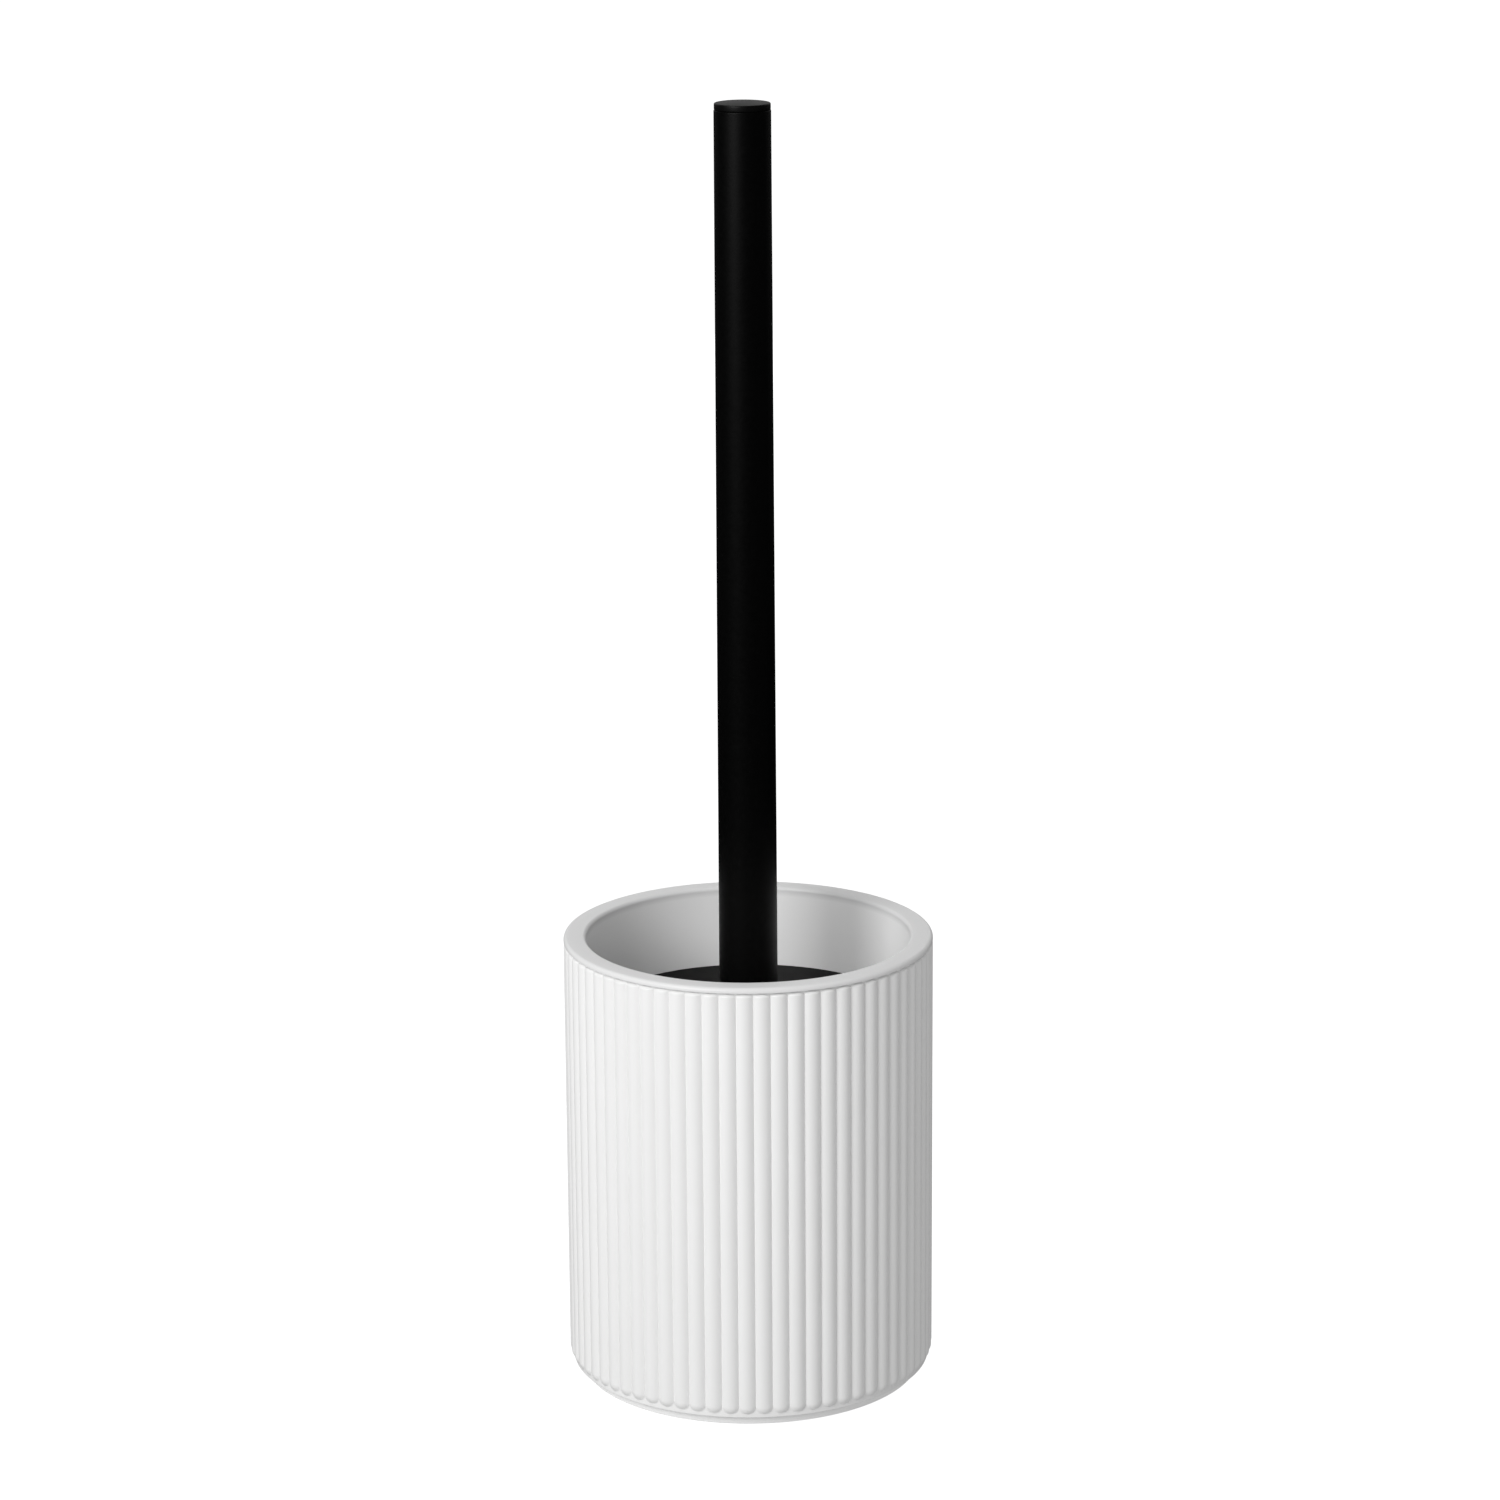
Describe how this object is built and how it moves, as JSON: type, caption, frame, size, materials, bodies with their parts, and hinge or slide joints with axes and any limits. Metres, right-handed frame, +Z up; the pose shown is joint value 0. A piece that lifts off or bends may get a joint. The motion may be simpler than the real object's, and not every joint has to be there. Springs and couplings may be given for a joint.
{
  "type": "toilet brush with holder",
  "caption": "Toilet brush standing in a cylindrical ribbed holder with a lift-out liner; tube handle, splash lid and tufted screw-on head.",
  "frame": {"origin": "centre of the base, on the surface that the holder stands on", "axes": "+Z up along the handle, which is the axis of the cup; +Y away from the viewer"},
  "size_m": [0.107, 0.107, 0.372],
  "materials": {
    "white_sleeve": "satin white moulded",
    "white_liner": "satin white moulded",
    "foot_rubber": "matt pale grey",
    "black_powder_coat": "fine matt powder coat on steel",
    "black_plastic": "matt moulded",
    "black_lid": "satin moulded",
    "black_bristle": "drawn nylon"
  },
  "bodies": {
    "holder": {"ribbed_sleeve": "white_sleeve", "foot_pad": "foot_rubber"},
    "liner": {"inner_liner": "white_liner"},
    "brush": {"handle_tube": "black_powder_coat", "handle_cap": "black_plastic", "thread_insert": "black_plastic", "splash_lid": "black_lid", "brush_core": "black_plastic", "end_tufts": "black_bristle", "tuft_row_1": "black_bristle", "tuft_row_2": "black_bristle", "tuft_row_3": "black_bristle", "tuft_row_4": "black_bristle", "tuft_row_5": "black_bristle", "tuft_row_6": "black_bristle", "tuft_row_7": "black_bristle", "tuft_row_8": "black_bristle"}
  },
  "joints": [
    {"name": "liner_lift", "type": "slide", "parent": "holder", "child": "liner", "axis": [0, 0, 1], "range_m": [0, 0.13]},
    {"name": "brush_lift", "type": "slide", "parent": "liner", "child": "brush", "axis": [0, 0, 1], "range_m": [0, 0.13]}
  ]
}
